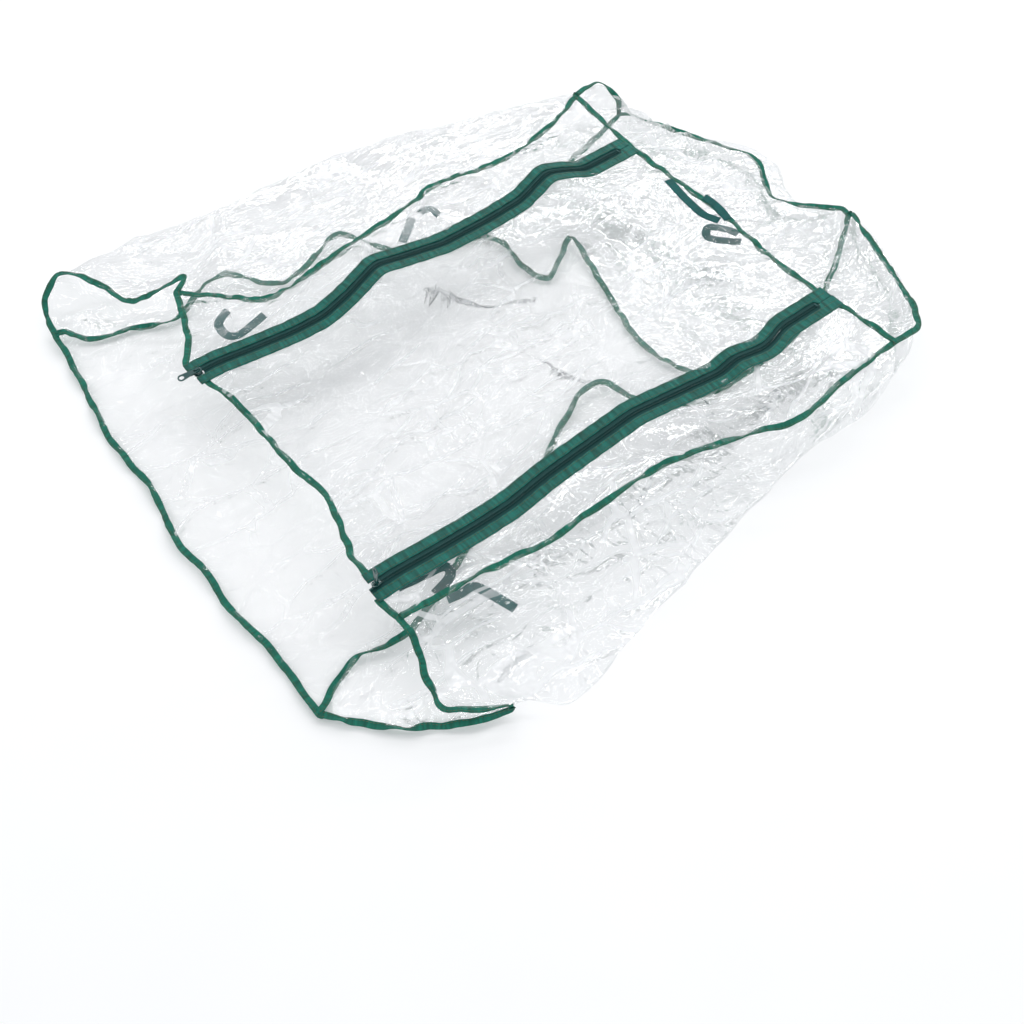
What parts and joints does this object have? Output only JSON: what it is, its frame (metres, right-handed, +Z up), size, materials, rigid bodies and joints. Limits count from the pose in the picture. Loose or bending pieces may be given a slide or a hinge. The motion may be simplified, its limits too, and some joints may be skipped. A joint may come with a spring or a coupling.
{
  "type": "greenhouse cover",
  "caption": "Clear film cover of a small apex-roofed greenhouse, lying collapsed, with ribbon-bound seams and a door between zips.",
  "frame": {"origin": "underside of the back panel, midway between the bottom ends of the zips", "axes": "+X from the open bottom edge towards the roof, +Y across the cover towards its left side, +Z up from the surface it lies on"},
  "size_m": [1.1222, 0.965, 0.1239],
  "materials": {
    "film": "clear flexible vinyl, crumpled and glossy",
    "binding": "folded polyester ribbon with a satin sheen",
    "facing": "woven polyester ribbon with a line of stitching",
    "zip_tape": "dark woven zip tape",
    "coil": "moulded nylon coil",
    "zip_metal": "glossy enamel",
    "webbing": "plain ribbon tie"
  },
  "bodies": {
    "cover": {"door_header": "film", "left_front_strip": "film", "right_front_strip": "film", "left_side_panel": "film", "right_side_panel": "film", "back_panel": "film", "roof_front_slope": "film", "roof_rear_slope": "film", "front_left_binding": "binding", "front_right_binding": "binding", "front_top_binding": "binding", "ridge_binding": "binding", "back_top_binding": "binding", "back_left_binding": "binding", "back_right_binding": "binding", "left_front_gable_binding": "binding", "right_front_gable_binding": "binding", "left_rear_gable_binding": "binding", "right_rear_gable_binding": "binding", "left_strip_hem": "binding", "right_strip_hem": "binding", "left_side_hem": "binding", "right_side_hem": "binding", "back_hem": "binding", "left_outer_tape": "zip_tape", "left_outer_facing": "facing", "left_outer_coil": "coil", "left_zip_head": "zip_tape", "left_top_stop": "coil", "left_bottom_stop": "coil", "right_outer_tape": "zip_tape", "right_outer_facing": "facing", "right_outer_coil": "coil", "right_zip_head": "zip_tape", "right_top_stop": "coil", "right_bottom_stop": "coil", "left_lower_tie": "webbing", "left_middle_tie": "webbing", "right_lower_tie": "webbing", "top_outer_tie": "webbing", "top_inner_tie": "webbing"},
    "door": {"door_panel": "film", "door_hem": "binding", "left_inner_tape": "zip_tape", "left_inner_facing": "facing", "left_inner_coil": "coil", "right_inner_tape": "zip_tape", "right_inner_facing": "facing", "right_inner_coil": "coil"},
    "left_slider": {"left_slider": "zip_metal"},
    "left_pull": {"left_pull": "zip_metal"},
    "right_slider": {"right_slider": "zip_metal"},
    "right_pull": {"right_pull": "zip_metal"}
  },
  "joints": [
    {"name": "door_fold", "type": "hinge", "parent": "cover", "child": "door", "pos_m": [0.70015, 0, 0.0936], "axis": [0, 1, 0], "range_deg": [0, 150]},
    {"name": "left_zip", "type": "slide", "parent": "cover", "child": "left_slider", "axis": [1, 0, 0], "range_m": [0, 0.7115]},
    {"name": "left_pull_flip", "type": "hinge", "parent": "left_slider", "child": "left_pull", "pos_m": [0.00625, 0.205, 0.0959], "axis": [0, 1, 0], "range_deg": [0, 175]},
    {"name": "right_zip", "type": "slide", "parent": "cover", "child": "right_slider", "axis": [1, 0, 0], "range_m": [0, 0.7115]},
    {"name": "right_pull_flip", "type": "hinge", "parent": "right_slider", "child": "right_pull", "pos_m": [0.00625, -0.205, 0.0959], "axis": [0, 1, 0], "range_deg": [-95, 80]}
  ]
}
